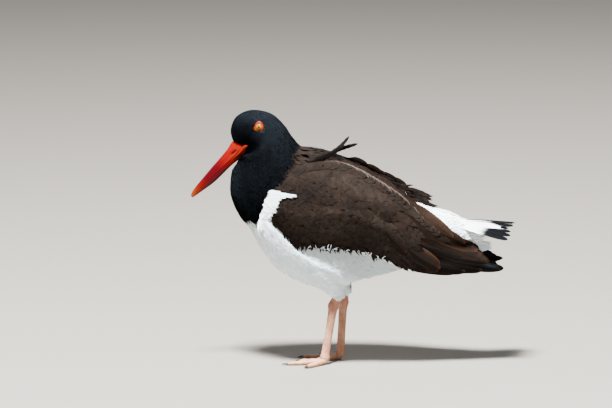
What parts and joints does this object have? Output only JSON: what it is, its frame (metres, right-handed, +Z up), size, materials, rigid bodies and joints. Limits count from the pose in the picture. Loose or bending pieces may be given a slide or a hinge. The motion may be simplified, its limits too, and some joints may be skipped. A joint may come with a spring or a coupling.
{
  "type": "oystercatcher",
  "caption": "Life-size still model of a standing American oystercatcher with neck drawn in and long straight bill.",
  "frame": {"origin": "on the floor, under the middle of the bounding box", "axes": "-X towards the bill, +X towards the tail, -Y the bird's left side, +Z up"},
  "size_m": [0.3728, 0.1122, 0.293],
  "materials": {
    "black_plumage": "matt black feathers with a faint blue sheen",
    "white_plumage": "soft white feathers",
    "covert_plumage": "soft white feathers",
    "brown_plumage": "matt dark brown feathers with pale fringes",
    "quill_plumage": "stiff blackish flight feathers",
    "bill_horn": "smooth orange-red horn",
    "leg_skin": "scaly flesh-pink skin",
    "claw_horn": "dark horn",
    "eye_ring_skin": "bare orange-red skin",
    "eye_iris": "wet yellow eye with a black pupil"
  },
  "bodies": {
    "root": {"breast": "white_plumage", "claw_inner_left": "claw_horn", "claw_inner_right": "claw_horn", "claw_middle_left": "claw_horn", "claw_middle_right": "claw_horn", "claw_outer_left": "claw_horn", "claw_outer_right": "claw_horn", "eye_left": "eye_iris", "eye_right": "eye_iris", "eye_ring_left": "eye_ring_skin", "eye_ring_right": "eye_ring_skin", "foot_left": "leg_skin", "foot_right": "leg_skin", "gape_left": "bill_horn", "gape_right": "bill_horn", "head": "black_plumage", "lifted_feather_lower": "quill_plumage", "lifted_feather_upper": "quill_plumage", "lower_mandible": "bill_horn", "neck": "black_plumage", "primaries_left": "quill_plumage", "primaries_right": "quill_plumage", "scapular_crest": "quill_plumage", "shank_left": "leg_skin", "shank_right": "leg_skin", "tail": "quill_plumage", "tail_coverts": "covert_plumage", "tertials_left": "brown_plumage", "tertials_right": "brown_plumage", "thigh_left": "white_plumage", "thigh_right": "white_plumage", "trunk": "white_plumage", "upper_mandible": "bill_horn", "wing_left": "brown_plumage", "wing_right": "brown_plumage"}
  },
  "joints": []
}
